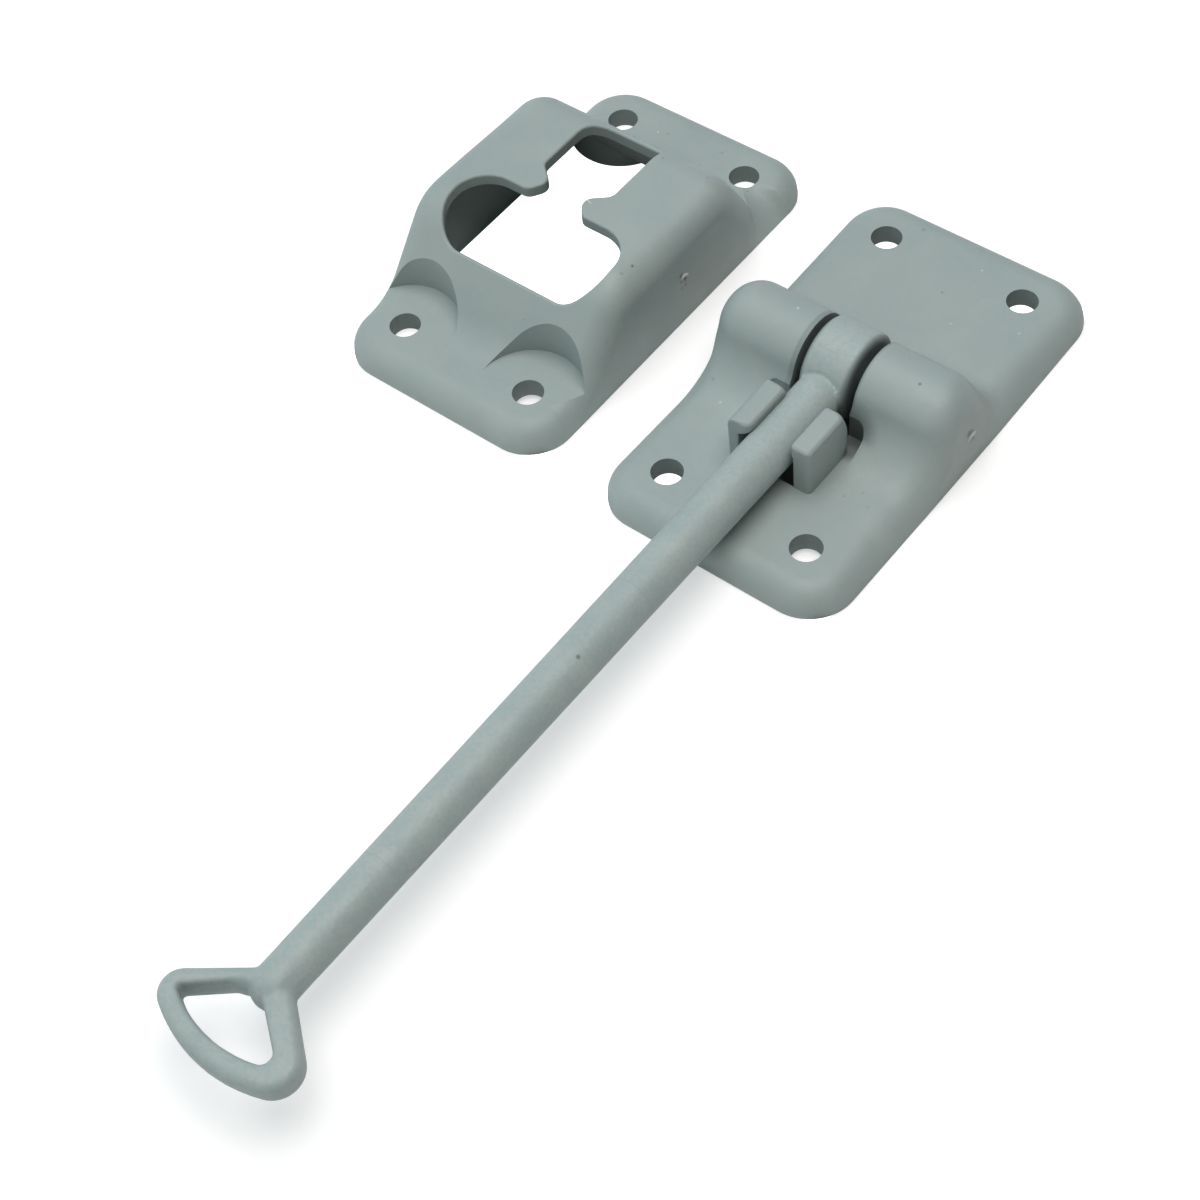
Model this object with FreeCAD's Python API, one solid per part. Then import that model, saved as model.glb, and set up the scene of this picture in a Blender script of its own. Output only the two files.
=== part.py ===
import FreeCAD, Part
import math
import os

# A two-part catch that holds a compartment door open. The holder is screwed to the body: a hollow
# moulded plate with two knuckles, between which a long arm swings, and a clip that parks the arm.
# The keeper is screwed to the door: a hollow raised plate with a keyhole. The arm's loop goes in
# through the wide part, and the rod then slides past two barbs into the slot.
# Millimetres. The origin is the middle of the holder's mounting face, +Z points away from the wall,
# X lies along the hinge and the parked arm points to -Y.

# Both plates
flange_height = 4.7         # from the wall to the flat top of a flange
corner_radius = 7.9         # corners of a plate, seen from above
edge_round = 4.4            # soft rounding all round the upper edge
screw_radius = 2.65
boss_wall = 2.0             # wall of the tube that carries a screw
boss_short = 1.0            # the tube stops this far from the wall plane
core_depth = 1.0            # how far the hollow's cutter reaches below the wall plane

# Keeper
keeper_x = -55.0            # centre of the keeper, beside the holder
keeper_y = -0.4
keeper_width = 44.2
keeper_length = 77.3
keeper_height = 19.2        # from the wall to the flat top
keeper_wall = 2.1
keeper_pitch_x = 26.5       # screw holes
keeper_pitch_y = 59.5
keeper_near_edge = -14.4    # where the near slope would meet the top, unrounded
keeper_near_slope = 50.0    # degrees from the wall
keeper_near_top_round = 9.9
keeper_near_foot_round = 8.8
keeper_far_edge = 16.0
keeper_far_slope = 59.0
keeper_far_top_round = 6.4
keeper_far_foot_round = 7.0
keeper_near_side_round = 4.6    # the rounding grows along the sides of the raised middle
keeper_far_side_round = 5.5     # at the far end of the top
keeper_far_corner_round = 9.0   # and at the foot of the far slope
near_pocket_radius = 9.2    # room for a screw head and driver, cut into the slopes
far_pocket_radius = 8.4
pocket_wall = 1.3
rim_round = 0.45            # rounding of the keyhole's upper rim
slot_half = 7.1             # keyhole: half the width of the slot
slot_end = 15.4
slot_round = 4.4            # the slot's left far corner
slot_sharp_round = 0.5      # the slot's right far corner
barb_start = 2.1            # where the slot narrows to its barbs
barb_tip_y = -1.0
barb_left_reach = 2.9       # how far each barb stands into the slot
barb_right_reach = 3.2
barb_root = 1.4             # width of a barb's root on the wide part's edge
barb_round = 1.9
wide_left = 16.0            # keyhole: the part that takes the loop
wide_right = 16.9
wide_far = -4.3
wide_near = -18.0
wide_round = 6.2

# Holder
holder_width = 44.9
holder_length = 80.0
holder_wall = 2.4
holder_pitch_x = 26.4
holder_pitch_y = 61.3
pivot_y = -0.9
pivot_height = 9.75         # hinge axis above the wall
knuckle_radius = 6.9
knuckle_foot_round = 9.9    # concave sweep from the plate up to the knuckles
knuckle_rear_slope = 59.0
knuckle_rear_foot_round = 4.4
knuckle_side_round = 5.5    # the plate's rounding grows to this over the knuckles
gap_half = 5.95             # half the gap between the knuckles
barrel_room = 0.7           # room round the barrel where it dips through the plate
saddle_width = 2.2          # the gap's side walls carry the arm's trunnions
trunnion_gap = 0.1
relief_half = 9.55          # pocket round the clip's rear end
relief_rear = -8.6
relief_front = -16.6
relief_round = 1.9
relief_wall = 1.6

# Clip
finger_front = -22.0
finger_rear = -10.7
finger_left_outer = 7.2     # outer face of each finger, from the middle
finger_right_outer = 7.85
finger_left_room = 1.1      # between the rod and each finger's stem
finger_right_room = 0.75
finger_top = 9.6            # above the flange
finger_nose_height = 2.3    # from the finger's top down to the nose's underside
finger_nose_slope = 0.6
finger_nose_round = 0.7
finger_nose_gap = 0.1       # a nose clears the rod by this much as the arm swings out
finger_edge_round = 0.4
finger_left_round = 1.0     # along the top of the outer face
finger_right_round = 0.6
finger_front_round = 0.9    # upright edges
finger_rear_round = 1.9
finger_lean = 1.6           # the rear end leans forward by this much towards its top
finger_lean_height = 5.0
finger_lean_round = 5.0
finger_top_round = 1.9

# Arm
barrel_radius = 7.4
barrel_half = 4.4
barrel_round = 1.3
trunnion_radius = 3.0
trunnion_reach = 9.6        # end of each trunnion from the middle
trunnion_chamfer = 0.5
rod_root_radius = 4.05
rod_tip_radius = 3.4
rod_end = -137.1            # end of the rod's dome, inside the loop
rod_rise = 1.1              # the loop end stands this much higher than the hinge
loop_apex_back = 6.2        # the outer sides meet this far behind the rod's end
loop_apex_x = 0.3
loop_left_angle = 54.3      # degrees from the rod's axis to each side
loop_right_angle = 51.2
loop_reach = 10.6           # from the rod's end to the lowest point of the rim
loop_rim_radius = 23.5
loop_rim_x = 0.7
loop_left_round = 3.4
loop_right_round = 4.2
loop_hole_apex_back = 2.4
loop_hole_apex_x = -1.6
loop_hole_left_angle = 50.3
loop_hole_right_angle = 53.3
loop_hole_reach = 7.5
loop_hole_rim_radius = 20.0
loop_hole_rim_x = 0.3
loop_hole_left_round = 0.4
loop_hole_right_round = 1.5
loop_thickness = 4.6
loop_outer_round = 1.5      # the bars are rounder away from the rod
loop_root_round = 1.1
loop_inner_round = 0.7
root_length = 8.0           # the bars swell into the rod over this length
root_half_height = 2.9
root_half_width = 1.9
root_tip_less = 0.1         # the swelling ends this much inside the bars' own section
root_left_half = 1.2        # half of each bar's width where it ends
root_right_half = 1.9


def flat_point(x, y):
    return FreeCAD.Vector(x, y, 0)


def side_point(y, z):
    return FreeCAD.Vector(0, y, z)


def front_point(x, z):
    return FreeCAD.Vector(x, 0, z)


def rounded_face(corners, point):
    """A face from corners (u, v, radius), with a tangent arc at each corner that has a radius."""
    count = len(corners)
    starts = []
    ends = []
    arcs = []
    for i in range(count):
        u, v, radius = corners[i]
        here = FreeCAD.Vector(u, v, 0)
        back = FreeCAD.Vector(*corners[i - 1][:2], 0) - here
        ahead = FreeCAD.Vector(*corners[(i + 1) % count][:2], 0) - here
        back.normalize()
        ahead.normalize()
        if radius == 0:
            starts.append(here)
            ends.append(here)
            arcs.append(None)
            continue
        half = back.getAngle(ahead) / 2
        run = radius / math.tan(half)
        middle = back + ahead
        middle.normalize()
        starts.append(here + back * run)
        ends.append(here + ahead * run)
        arcs.append(here + middle * (radius / math.sin(half) - radius))
    edges = []
    for i in range(count):
        start = point(starts[i].x, starts[i].y)
        end = point(ends[i].x, ends[i].y)
        follower = starts[(i + 1) % count]
        if arcs[i] is not None:
            edges.append(Part.Arc(start, point(arcs[i].x, arcs[i].y), end).toShape())
        if (follower - ends[i]).Length > 1e-6:
            edges.append(Part.LineSegment(end, point(follower.x, follower.y)).toShape())
    return Part.Face(Part.Wire(edges))


def box(x0, x1, y0, y1, z0, z1):
    return Part.makeBox(x1 - x0, y1 - y0, z1 - z0, FreeCAD.Vector(x0, y0, z0))


def post(x, y, radius, z0, z1):
    return Part.makeCylinder(radius, z1 - z0, FreeCAD.Vector(x, y, z0))


def screw_places(pitch_x, pitch_y):
    return [(sx * pitch_x / 2, sy * pitch_y / 2) for sx in (-1, 1) for sy in (-1, 1)]


def round_edges(block, chosen, round_at):
    """Round the chosen edges of a block, with a radius that may change along each edge."""
    chain = []
    for number, edge in enumerate(block.Edges, 1):
        if chosen(edge):
            start = edge.valueAt(edge.FirstParameter)
            end = edge.valueAt(edge.LastParameter)
            chain.append((number, round_at(start), round_at(end)))
    document = FreeCAD.newDocument("rounding")
    base = document.addObject("Part::Feature", "block")
    base.Shape = block
    rounding = document.addObject("Part::Fillet", "rounded")
    rounding.Base = base
    rounding.Edges = chain
    document.recompute()
    rounded = rounding.Shape.copy()
    FreeCAD.closeDocument(document.Name)
    return rounded


def soften(block, half_width, half_length, corner, round_at):
    """Round the plan corners of a block, then the whole chain of edges round its upper side."""
    upright = [e for e in block.Edges if abs(e.tangentAt(e.FirstParameter).z) > 0.999
               and abs(abs(e.CenterOfMass.x) - half_width) < 0.01
               and abs(abs(e.CenterOfMass.y) - half_length) < 0.01]
    block = block.makeFillet(corner, upright)
    floor = block.BoundBox.ZMin

    def chosen(edge):
        middle = edge.valueAt((edge.FirstParameter + edge.LastParameter) / 2)
        along_side = abs(abs(middle.x) - half_width) < 0.01
        round_an_end = abs(middle.y) > half_length - corner + 0.01
        return (along_side or round_an_end) and edge.BoundBox.ZMin > floor + 0.01

    return round_edges(block, chosen, round_at)


def slope_y(edge, rise, degrees, inset, sign):
    """Y of a slope's line at a given height over the edge where it meets the top."""
    angle = math.radians(degrees)
    return edge + sign * (rise / math.tan(angle) + inset / math.sin(angle))


def keeper_block(inset, floor):
    """The keeper's outer form, or with an inset the form of its hollow."""
    half_width = keeper_width / 2 - inset
    half_length = keeper_length / 2 - inset
    flange = flange_height - inset
    top = keeper_height - inset
    halfway = (keeper_height + flange_height) / 2 - inset

    def round_at(point):
        if point.z < flange + 0.01:
            return edge_round - inset
        if point.y < 0:
            return keeper_near_side_round - inset
        if point.z > halfway:
            return keeper_far_side_round - inset
        return keeper_far_corner_round - inset

    drop = flange - keeper_height
    near_foot = slope_y(keeper_near_edge, drop, keeper_near_slope, inset, 1)
    near_top = slope_y(keeper_near_edge, -inset, keeper_near_slope, inset, 1)
    far_foot = slope_y(keeper_far_edge, drop, keeper_far_slope, inset, -1)
    far_top = slope_y(keeper_far_edge, -inset, keeper_far_slope, inset, -1)
    face = rounded_face([
        (-half_length, floor, 0),
        (half_length, floor, 0),
        (half_length, flange, 0),
        (far_foot, flange, keeper_far_foot_round + inset),
        (far_top, top, keeper_far_top_round - inset),
        (near_top, top, keeper_near_top_round - inset),
        (near_foot, flange, keeper_near_foot_round + inset),
        (-half_length, flange, 0)], side_point)
    face.translate(FreeCAD.Vector(-half_width, 0, 0))
    block = face.extrude(FreeCAD.Vector(2 * half_width, 0, 0))
    return soften(block, half_width, half_length, corner_radius - inset, round_at)


def keyhole():
    """Cutter for the opening: a wide part, two barbs and a slot."""
    right_tip = slot_half - barb_right_reach
    left_tip = slot_half - barb_left_reach
    root = slot_half - barb_root
    face = rounded_face([
        (-wide_left, wide_near, wide_round),
        (wide_right, wide_near, wide_round),
        (wide_right, wide_far, wide_round),
        (root, wide_far, barb_round),
        (right_tip - barb_root / 2, barb_tip_y, barb_round),
        (slot_half, barb_start, barb_round),
        (slot_half, slot_end, slot_sharp_round),
        (-slot_half, slot_end, slot_round),
        (-slot_half, barb_start, barb_round),
        (-left_tip + barb_root / 2, barb_tip_y, barb_round),
        (-root, wide_far, barb_round),
        (-wide_left, wide_far, wide_round)], flat_point)
    return face.extrude(FreeCAD.Vector(0, 0, keeper_height + core_depth))


def screw_bosses(places, wall):
    """Tubes under a plate that carry its screws."""
    radius = screw_radius + boss_wall
    return [post(x, y, radius, boss_short, flange_height - wall / 2) for x, y in places]


def drill(body, places):
    top = keeper_height + core_depth
    return body.cut([post(x, y, screw_radius, -core_depth, top) for x, y in places])


def rounded_rim(body, hole, radius):
    """Round the upper rim that a through hole leaves on a body."""
    rim = []
    for edge in body.Edges:
        middle = (edge.FirstParameter + edge.LastParameter) / 2
        upright = abs(edge.tangentAt(middle).z) > 0.99
        if upright or edge.BoundBox.ZMin < flange_height:
            continue
        if hole.distToShape(Part.Vertex(edge.valueAt(middle)))[0] < 0.0001:
            rim.append(edge)
    return body.makeFillet(radius, rim)


def pockets(places, wall, floor):
    """Room over each screw of the keeper, or with a wall the form that carries it inside."""
    top = keeper_height + core_depth
    radii = [near_pocket_radius if y < 0 else far_pocket_radius for x, y in places]
    return [post(x, y, radius + wall, floor, top) for (x, y), radius in zip(places, radii)]


def keeper():
    places = screw_places(keeper_pitch_x, keeper_pitch_y)
    hollow = keeper_block(keeper_wall, -core_depth)
    hollow = hollow.cut(pockets(places, pocket_wall, flange_height - keeper_wall))
    body = keeper_block(0, 0)
    body = body.cut(keyhole())
    body = rounded_rim(body, keyhole(), rim_round)
    body = body.cut(pockets(places, 0, flange_height))
    body = body.cut(hollow)
    body = body.fuse(screw_bosses(places, keeper_wall))
    body = drill(body, places)
    body = body.cut(keyhole())
    body.translate(FreeCAD.Vector(keeper_x, keeper_y, 0))
    return body.removeSplitter()


def holder_block(inset, floor):
    """The holder's outer form without its clip, or with an inset the form of its hollow."""
    half_width = holder_width / 2 - inset
    half_length = holder_length / 2 - inset
    flange = flange_height - inset
    knuckle = knuckle_radius - inset
    foot = knuckle_foot_round + inset
    rear_foot = knuckle_rear_foot_round + inset
    slope = math.radians(knuckle_rear_slope)
    pivot = side_point(pivot_y, pivot_height)

    def round_at(point):
        if point.z < flange + 0.01:
            return edge_round - inset
        return knuckle_side_round - inset

    # front: the concave foot touches the flange and the knuckle
    foot_rise = flange + foot - pivot_height
    foot_y = pivot_y - math.sqrt((knuckle + foot) ** 2 - foot_rise ** 2)
    foot_centre = side_point(foot_y, flange + foot)
    to_foot = foot_centre - pivot
    to_foot.normalize()
    touch = pivot + to_foot * knuckle
    foot_start = side_point(foot_y, flange)
    foot_middle = touch - foot_centre + foot_start - foot_centre
    foot_middle.normalize()
    # rear: a straight slope leaves the knuckle and lands on the flange in a concave foot
    leave = pivot + side_point(math.sin(slope), math.cos(slope)) * knuckle
    land_y = leave.y + (leave.z - flange) / math.tan(slope)
    run = rear_foot * math.tan(slope / 2)
    rear_top = side_point(land_y - run * math.cos(slope), flange + run * math.sin(slope))
    rear_end = side_point(land_y + run, flange)
    rear_centre = side_point(land_y + run, flange + rear_foot)
    rear_middle = rear_top - rear_centre + rear_end - rear_centre
    rear_middle.normalize()
    crown = to_foot + side_point(math.sin(slope), math.cos(slope))
    crown.normalize()
    corners = [rear_end, side_point(half_length, flange), side_point(half_length, floor),
               side_point(-half_length, floor), side_point(-half_length, flange), foot_start]
    edges = [Part.LineSegment(corners[i], corners[i + 1]).toShape() for i in range(5)]
    edges.append(Part.Arc(foot_start, foot_centre + foot_middle * foot, touch).toShape())
    edges.append(Part.Arc(touch, pivot + crown * knuckle, leave).toShape())
    edges.append(Part.LineSegment(leave, rear_top).toShape())
    edges.append(Part.Arc(rear_top, rear_centre + rear_middle * rear_foot, rear_end).toShape())
    face = Part.Face(Part.Wire(edges))
    face.translate(FreeCAD.Vector(-half_width, 0, 0))
    block = face.extrude(FreeCAD.Vector(2 * half_width, 0, 0))
    return soften(block, half_width, half_length, corner_radius - inset, round_at)


def saddle(side, hollow):
    """The wall that closes a knuckle beside the gap. Its U-shaped seat holds a trunnion."""
    reach = knuckle_radius + knuckle_foot_round
    top = pivot_height + knuckle_radius
    rib = box(gap_half, gap_half + saddle_width, pivot_y - reach, pivot_y + reach, boss_short, top)
    if side < 0:
        rib = rib.mirror(FreeCAD.Vector(0, 0, 0), FreeCAD.Vector(1, 0, 0))
    rib = rib.common(hollow)
    seat = trunnion_radius + trunnion_gap
    edge = trunnion_reach + saddle_width
    start = FreeCAD.Vector(-edge, pivot_y, pivot_height)
    rib = rib.cut(Part.makeCylinder(seat, 2 * edge, start, FreeCAD.Vector(1, 0, 0)))
    return rib.cut(box(-edge, edge, pivot_y - seat, pivot_y + seat, -core_depth, pivot_height))


def rod_radius_at(y):
    share = (pivot_y - y) / (pivot_y - rod_end)
    return rod_root_radius + (rod_tip_radius - rod_root_radius) * share


def rod_height_at(y):
    return pivot_height + rod_rise * (pivot_y - y) / (pivot_y - rod_end)


def stem_x(room):
    """Inner face of a finger's stem, from the middle."""
    return rod_radius_at(finger_rear) + room


def finger(side, outer, room, outer_round):
    """One finger of the clip: a stem with a round nose at its top that keeps the rod in."""
    stem = stem_x(room)
    tip = stem_x(finger_nose_gap)
    top = flange_height + finger_top
    under = top - finger_nose_height
    foot = flange_height - holder_wall
    front_face = rounded_face([
        (side * stem, foot, 0),
        (side * outer, foot, 0),
        (side * outer, top, outer_round),
        (side * tip, top, finger_nose_round),
        (side * tip, under, finger_nose_round),
        (side * stem, under - finger_nose_slope, 0)], front_point)
    front_face.translate(FreeCAD.Vector(0, finger_front, 0))
    blade = front_face.extrude(FreeCAD.Vector(0, finger_rear - finger_front, 0))
    side_face = rounded_face([
        (finger_front, 0, 0),
        (finger_rear, 0, 0),
        (finger_rear, top - finger_lean_height, finger_lean_round),
        (finger_rear - finger_lean, top, finger_top_round),
        (finger_front, top, finger_edge_round)], side_point)
    reach = finger_left_outer + finger_right_outer
    side_face.translate(FreeCAD.Vector(-reach, 0, 0))
    plan = rounded_face([
        (side * tip, finger_front, finger_edge_round),
        (side * outer, finger_front, finger_front_round),
        (side * outer, finger_rear, finger_rear_round),
        (side * tip, finger_rear, finger_edge_round)], flat_point)
    blade = blade.common(side_face.extrude(FreeCAD.Vector(2 * reach, 0, 0)))
    return blade.common(plan.extrude(FreeCAD.Vector(0, 0, 2 * top)))


def relief(wall):
    """Pocket that frees the rear of the clip from the sweep below the knuckles, or its walls."""
    half = relief_half + wall
    rounding = relief_round + wall
    face = rounded_face([
        (-half, relief_front - wall, 0),
        (half, relief_front - wall, 0),
        (half, relief_rear + wall, rounding),
        (-half, relief_rear + wall, rounding)], flat_point)
    face.translate(FreeCAD.Vector(0, 0, flange_height - wall))
    return face.extrude(FreeCAD.Vector(0, 0, pivot_height))


def holder():
    places = screw_places(holder_pitch_x, holder_pitch_y)
    top = pivot_height + knuckle_radius + core_depth
    hollow = holder_block(holder_wall, -core_depth).cut(relief(relief_wall))
    body = holder_block(0, 0)
    reach = barrel_radius + barrel_room
    body = body.cut([
        box(-gap_half, gap_half, relief_rear, holder_length / 2, flange_height, top),
        relief(0)])
    body = body.cut(hollow)
    left = stem_x(finger_left_room)
    right = stem_x(finger_right_room)
    body = body.cut([
        box(-gap_half, gap_half, pivot_y - reach, pivot_y + reach, -core_depth, top),
        box(-left, right, finger_front, pivot_y, -core_depth, top)])
    body = body.fuse(screw_bosses(places, holder_wall))
    body = drill(body, places)
    body = body.fuse([
        saddle(-1, hollow),
        saddle(1, hollow),
        finger(-1, finger_left_outer, finger_left_room, finger_left_round),
        finger(1, finger_right_outer, finger_right_room, finger_right_round)])
    return body.removeSplitter()


def fan(apex_x, apex_back, angles, rim_x, reach, rim_radius, corners):
    """Prism of a fan: two straight sides from an apex, and a curved rim with rounded corners."""
    apex = FreeCAD.Vector(apex_x, rod_end + apex_back, 0)
    far = 2 * rim_radius
    left = math.radians(angles[0])
    right = math.radians(angles[1])
    left_end = apex + FreeCAD.Vector(-math.sin(left), -math.cos(left), 0) * far
    right_end = apex + FreeCAD.Vector(math.sin(right), -math.cos(right), 0) * far
    wedge = Part.Face(Part.makePolygon([apex, left_end, right_end, apex]))
    wedge = wedge.extrude(FreeCAD.Vector(0, 0, loop_thickness))
    prism = wedge.common(post(rim_x, rod_end - reach + rim_radius, rim_radius, 0, loop_thickness))
    upright = [e for e in prism.Edges if abs(e.BoundBox.ZLength - loop_thickness) < 0.01
               and e.CenterOfMass.y < apex.y - 0.01]
    upright.sort(key=lambda e: e.CenterOfMass.x)
    prism = prism.makeFillet(corners[1], [upright[-1]])
    first = [e for e in prism.Edges if (e.CenterOfMass - upright[0].CenterOfMass).Length < 0.01]
    return prism.makeFillet(corners[0], first)


def loop():
    """Flat fan-shaped handle round an open hole, at the end of the rod."""
    outer = fan(loop_apex_x, loop_apex_back, (loop_left_angle, loop_right_angle), loop_rim_x,
                loop_reach, loop_rim_radius, (loop_left_round, loop_right_round))
    hole = fan(loop_hole_apex_x, loop_hole_apex_back, (loop_hole_left_angle,
               loop_hole_right_angle), loop_hole_rim_x, loop_hole_reach, loop_hole_rim_radius,
               (loop_hole_left_round, loop_hole_right_round))

    def level(edge):
        return edge.BoundBox.ZLength < 0.01

    def round_at(point):
        return loop_root_round if point.y > rod_end else loop_outer_round

    ring = round_edges(outer, level, round_at).cut(hole)
    rims = [e for e in ring.Edges if level(e) and hole.distToShape(e)[0] < 0.001]
    ring = ring.makeFillet(loop_inner_round, rims)
    middle = rod_height_at(rod_end - (loop_reach - loop_apex_back) / 2)
    ring.translate(FreeCAD.Vector(0, 0, middle - loop_thickness / 2))
    return ring


def root(sign, angle, half_width):
    """Swelling that leads one bar of the loop into the end of the rod."""
    slant = math.radians(angle)
    along = FreeCAD.Vector(sign * math.sin(slant), -math.cos(slant), 0)
    inward = FreeCAD.Vector(-sign * math.cos(slant), -math.sin(slant), 0)
    apex = FreeCAD.Vector(loop_apex_x, rod_end + loop_apex_back, rod_height_at(rod_end))
    far = apex + along * root_length + inward * half_width
    near = FreeCAD.Vector(0, rod_end + rod_tip_radius, rod_height_at(rod_end))
    up = FreeCAD.Vector(0, 0, 1)
    across = (far - near).cross(up)
    across.normalize()
    half_height = loop_thickness / 2 - root_tip_less
    width = half_width - root_tip_less
    start = Part.Ellipse(near + up * root_half_height, near + across * root_half_width, near)
    end = Part.Ellipse(far + up * half_height, far + across * width, far)
    return Part.makeLoft([Part.Wire(start.toShape()), Part.Wire(end.toShape())], True, True)


def catch_arm():
    across = FreeCAD.Vector(1, 0, 0)
    barrel = Part.makeCylinder(barrel_radius, 2 * barrel_half,
                               FreeCAD.Vector(-barrel_half, pivot_y, pivot_height), across)
    barrel = barrel.makeFillet(barrel_round, [e for e in barrel.Edges if e.Closed])
    axle = Part.makeCylinder(trunnion_radius, 2 * trunnion_reach,
                             FreeCAD.Vector(-trunnion_reach, pivot_y, pivot_height), across)
    axle = axle.makeChamfer(trunnion_chamfer, [e for e in axle.Edges if e.Closed])
    dome_y = rod_end + rod_tip_radius
    start = side_point(pivot_y, pivot_height)
    along = side_point(dome_y, rod_height_at(dome_y)) - start
    tip = along.Length
    half = [
        Part.LineSegment(front_point(0, 0), front_point(rod_root_radius, 0)).toShape(),
        Part.LineSegment(front_point(rod_root_radius, 0), front_point(rod_tip_radius, tip)).toShape(),
        Part.Arc(front_point(rod_tip_radius, tip),
                 front_point(rod_tip_radius * math.sqrt(0.5), tip + rod_tip_radius * math.sqrt(0.5)),
                 front_point(0, tip + rod_tip_radius)).toShape(),
        Part.LineSegment(front_point(0, tip + rod_tip_radius), front_point(0, 0)).toShape()]
    rod = Part.Face(Part.Wire(half)).revolve(front_point(0, 0), front_point(0, 1), 360)
    rod.Placement = FreeCAD.Placement(start, FreeCAD.Rotation(front_point(0, 1), along))
    roots = [root(-1, loop_left_angle, root_left_half), root(1, loop_right_angle, root_right_half)]
    arm = barrel.fuse([axle, rod, loop()] + roots)
    return arm.removeSplitter()


def main():
    os.makedirs("parts", exist_ok=True)
    pieces = {"keeper": keeper(), "holder_base": holder(), "catch_arm": catch_arm()}
    for name, shape in pieces.items():
        shape.exportStep("parts/" + name + ".step")
        print(name, "solids", len(shape.Solids), "valid", shape.isValid(),
              "volume_mm3", round(shape.Volume, 1))


main()
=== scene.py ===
import bmesh
import bpy
from mathutils import Matrix, Vector


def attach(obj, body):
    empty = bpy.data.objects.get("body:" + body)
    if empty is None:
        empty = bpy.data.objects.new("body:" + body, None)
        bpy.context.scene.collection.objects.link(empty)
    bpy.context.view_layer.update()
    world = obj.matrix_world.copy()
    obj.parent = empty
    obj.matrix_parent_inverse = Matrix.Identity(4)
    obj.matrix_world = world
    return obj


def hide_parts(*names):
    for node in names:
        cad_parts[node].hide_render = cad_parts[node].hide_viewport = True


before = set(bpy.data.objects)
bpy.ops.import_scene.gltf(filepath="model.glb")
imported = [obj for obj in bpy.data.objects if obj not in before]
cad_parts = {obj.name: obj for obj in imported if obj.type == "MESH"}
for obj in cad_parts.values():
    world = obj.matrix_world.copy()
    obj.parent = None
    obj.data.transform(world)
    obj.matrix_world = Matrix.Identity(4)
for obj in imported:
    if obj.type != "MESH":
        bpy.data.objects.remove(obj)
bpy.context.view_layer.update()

scene = bpy.context.scene
mm = 0.001
print("frame loaded:", sorted(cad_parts))


def newMaterial(name):
    material = bpy.data.materials.new(name)
    material.use_nodes = True
    nodes = material.node_tree.nodes
    for node in list(nodes):
        nodes.remove(node)
    return material, nodes, material.node_tree.links


def setSocket(links, socket, value):
    if isinstance(value, bpy.types.NodeSocket):
        links.new(value, socket)
    else:
        socket.default_value = value


def addNoise(nodes, links, place, scale, detail=3.0, roughness=0.55, distortion=0.0):
    noise = nodes.new("ShaderNodeTexNoise")
    noise.inputs["Scale"].default_value = scale
    noise.inputs["Detail"].default_value = detail
    noise.inputs["Roughness"].default_value = roughness
    noise.inputs["Distortion"].default_value = distortion
    links.new(place, noise.inputs["Vector"])
    return noise.outputs["Fac"]


def addMath(nodes, links, operation, first, second=0.0):
    node = nodes.new("ShaderNodeMath")
    node.operation = operation
    setSocket(links, node.inputs[0], first)
    setSocket(links, node.inputs[1], second)
    return node.outputs[0]


def addProduct(nodes, links, first, second):
    return addMath(nodes, links, "MULTIPLY", first, second)


def addDistance(nodes, links, first, second):
    return addMath(nodes, links, "ABSOLUTE", addMath(nodes, links, "SUBTRACT", first, second))


def addVector(nodes, links, operation, first, second, output=0):
    node = nodes.new("ShaderNodeVectorMath")
    node.operation = operation
    setSocket(links, node.inputs[0], first)
    setSocket(links, node.inputs[1], second)
    return node.outputs[output]


def addSplit(nodes, links, place):
    split = nodes.new("ShaderNodeSeparateXYZ")
    links.new(place, split.inputs[0])
    return tuple(split.outputs)


def addRange(nodes, links, value, fromLow, fromHigh, toLow=0.0, toHigh=1.0, smooth=False):
    node = nodes.new("ShaderNodeMapRange")
    node.interpolation_type = "SMOOTHSTEP" if smooth else "LINEAR"
    node.inputs["From Min"].default_value = fromLow
    node.inputs["From Max"].default_value = fromHigh
    node.inputs["To Min"].default_value = toLow
    node.inputs["To Max"].default_value = toHigh
    links.new(value, node.inputs["Value"])
    return node.outputs["Result"]


def addMix(nodes, links, factor, first, second):
    node = nodes.new("ShaderNodeMix")
    node.data_type = "RGBA"
    setSocket(links, node.inputs[0], factor)
    setSocket(links, node.inputs[6], first)
    setSocket(links, node.inputs[7], second)
    return node.outputs[2]


# mixes a tint in where the share says, at a given strength
def addTint(nodes, links, colour, share, strength, tint):
    return addMix(nodes, links, addProduct(nodes, links, share, strength), colour, tint)


def addGrey(nodes, links, value):
    node = nodes.new("ShaderNodeCombineXYZ")
    for socket in node.inputs:
        links.new(value, socket)
    return node.outputs[0]


# a soft spot round one place on the surface, 1 in its middle
def addSpot(nodes, links, place, centre, radius, core):
    away = addVector(nodes, links, "DISTANCE", place, centre, 1)
    return addRange(nodes, links, away, radius, radius * core, smooth=True)


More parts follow.
